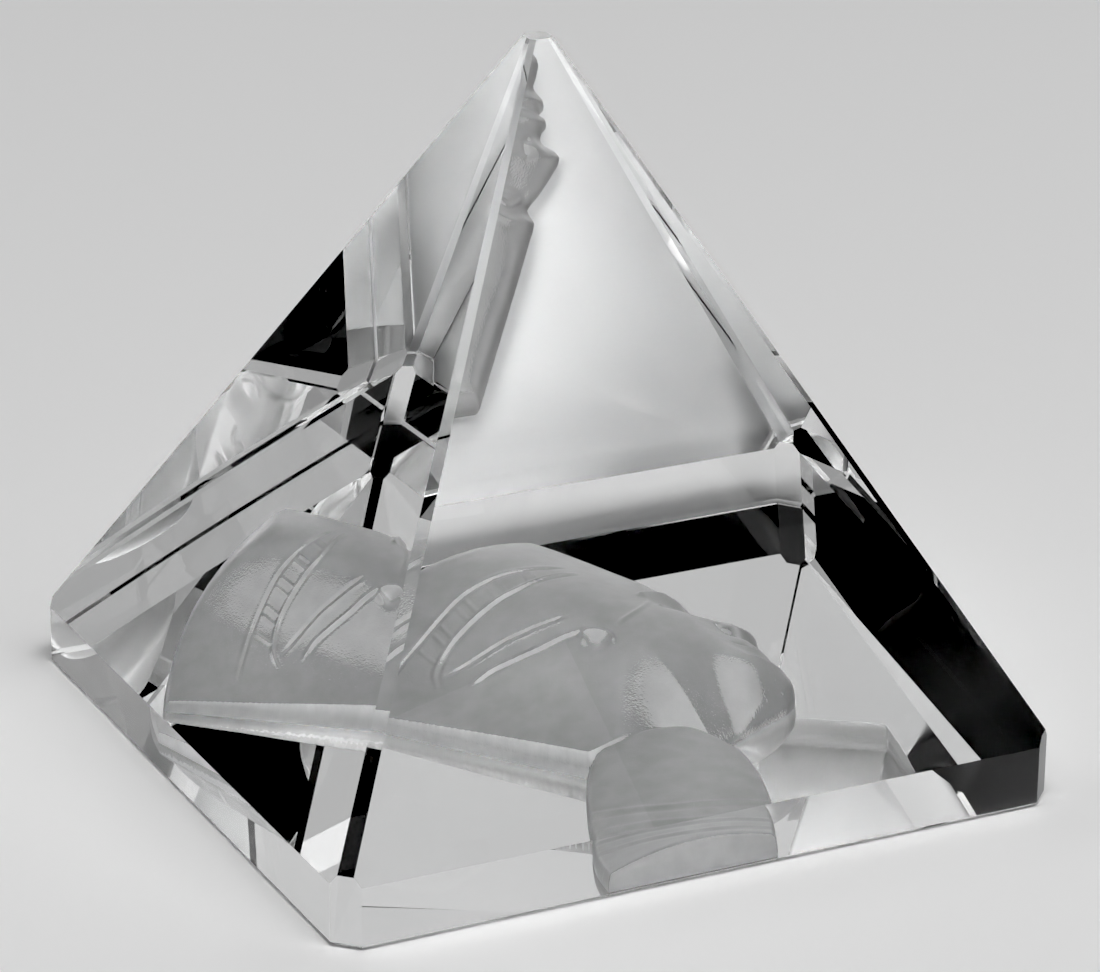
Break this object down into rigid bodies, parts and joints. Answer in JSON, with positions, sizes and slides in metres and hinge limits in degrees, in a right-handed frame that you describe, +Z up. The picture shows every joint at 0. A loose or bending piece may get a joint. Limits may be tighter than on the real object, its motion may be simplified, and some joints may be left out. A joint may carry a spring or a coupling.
{
  "type": "pyramid paperweight",
  "caption": "Faceted square pyramid of clear polished glass, with a frosted head in profile ground up into its flat underside.",
  "frame": {"origin": "centre of the square base, on the plane that it rests on", "axes": "+Z up through the tip; X and Y square to the sides of the base"},
  "size_m": [0.08, 0.08, 0.0755],
  "materials": {
    "optical_glass": "polished facets with a finely ground matt recess in the base"
  },
  "bodies": {
    "root": {"crystal_pyramid": "optical_glass"}
  },
  "joints": []
}
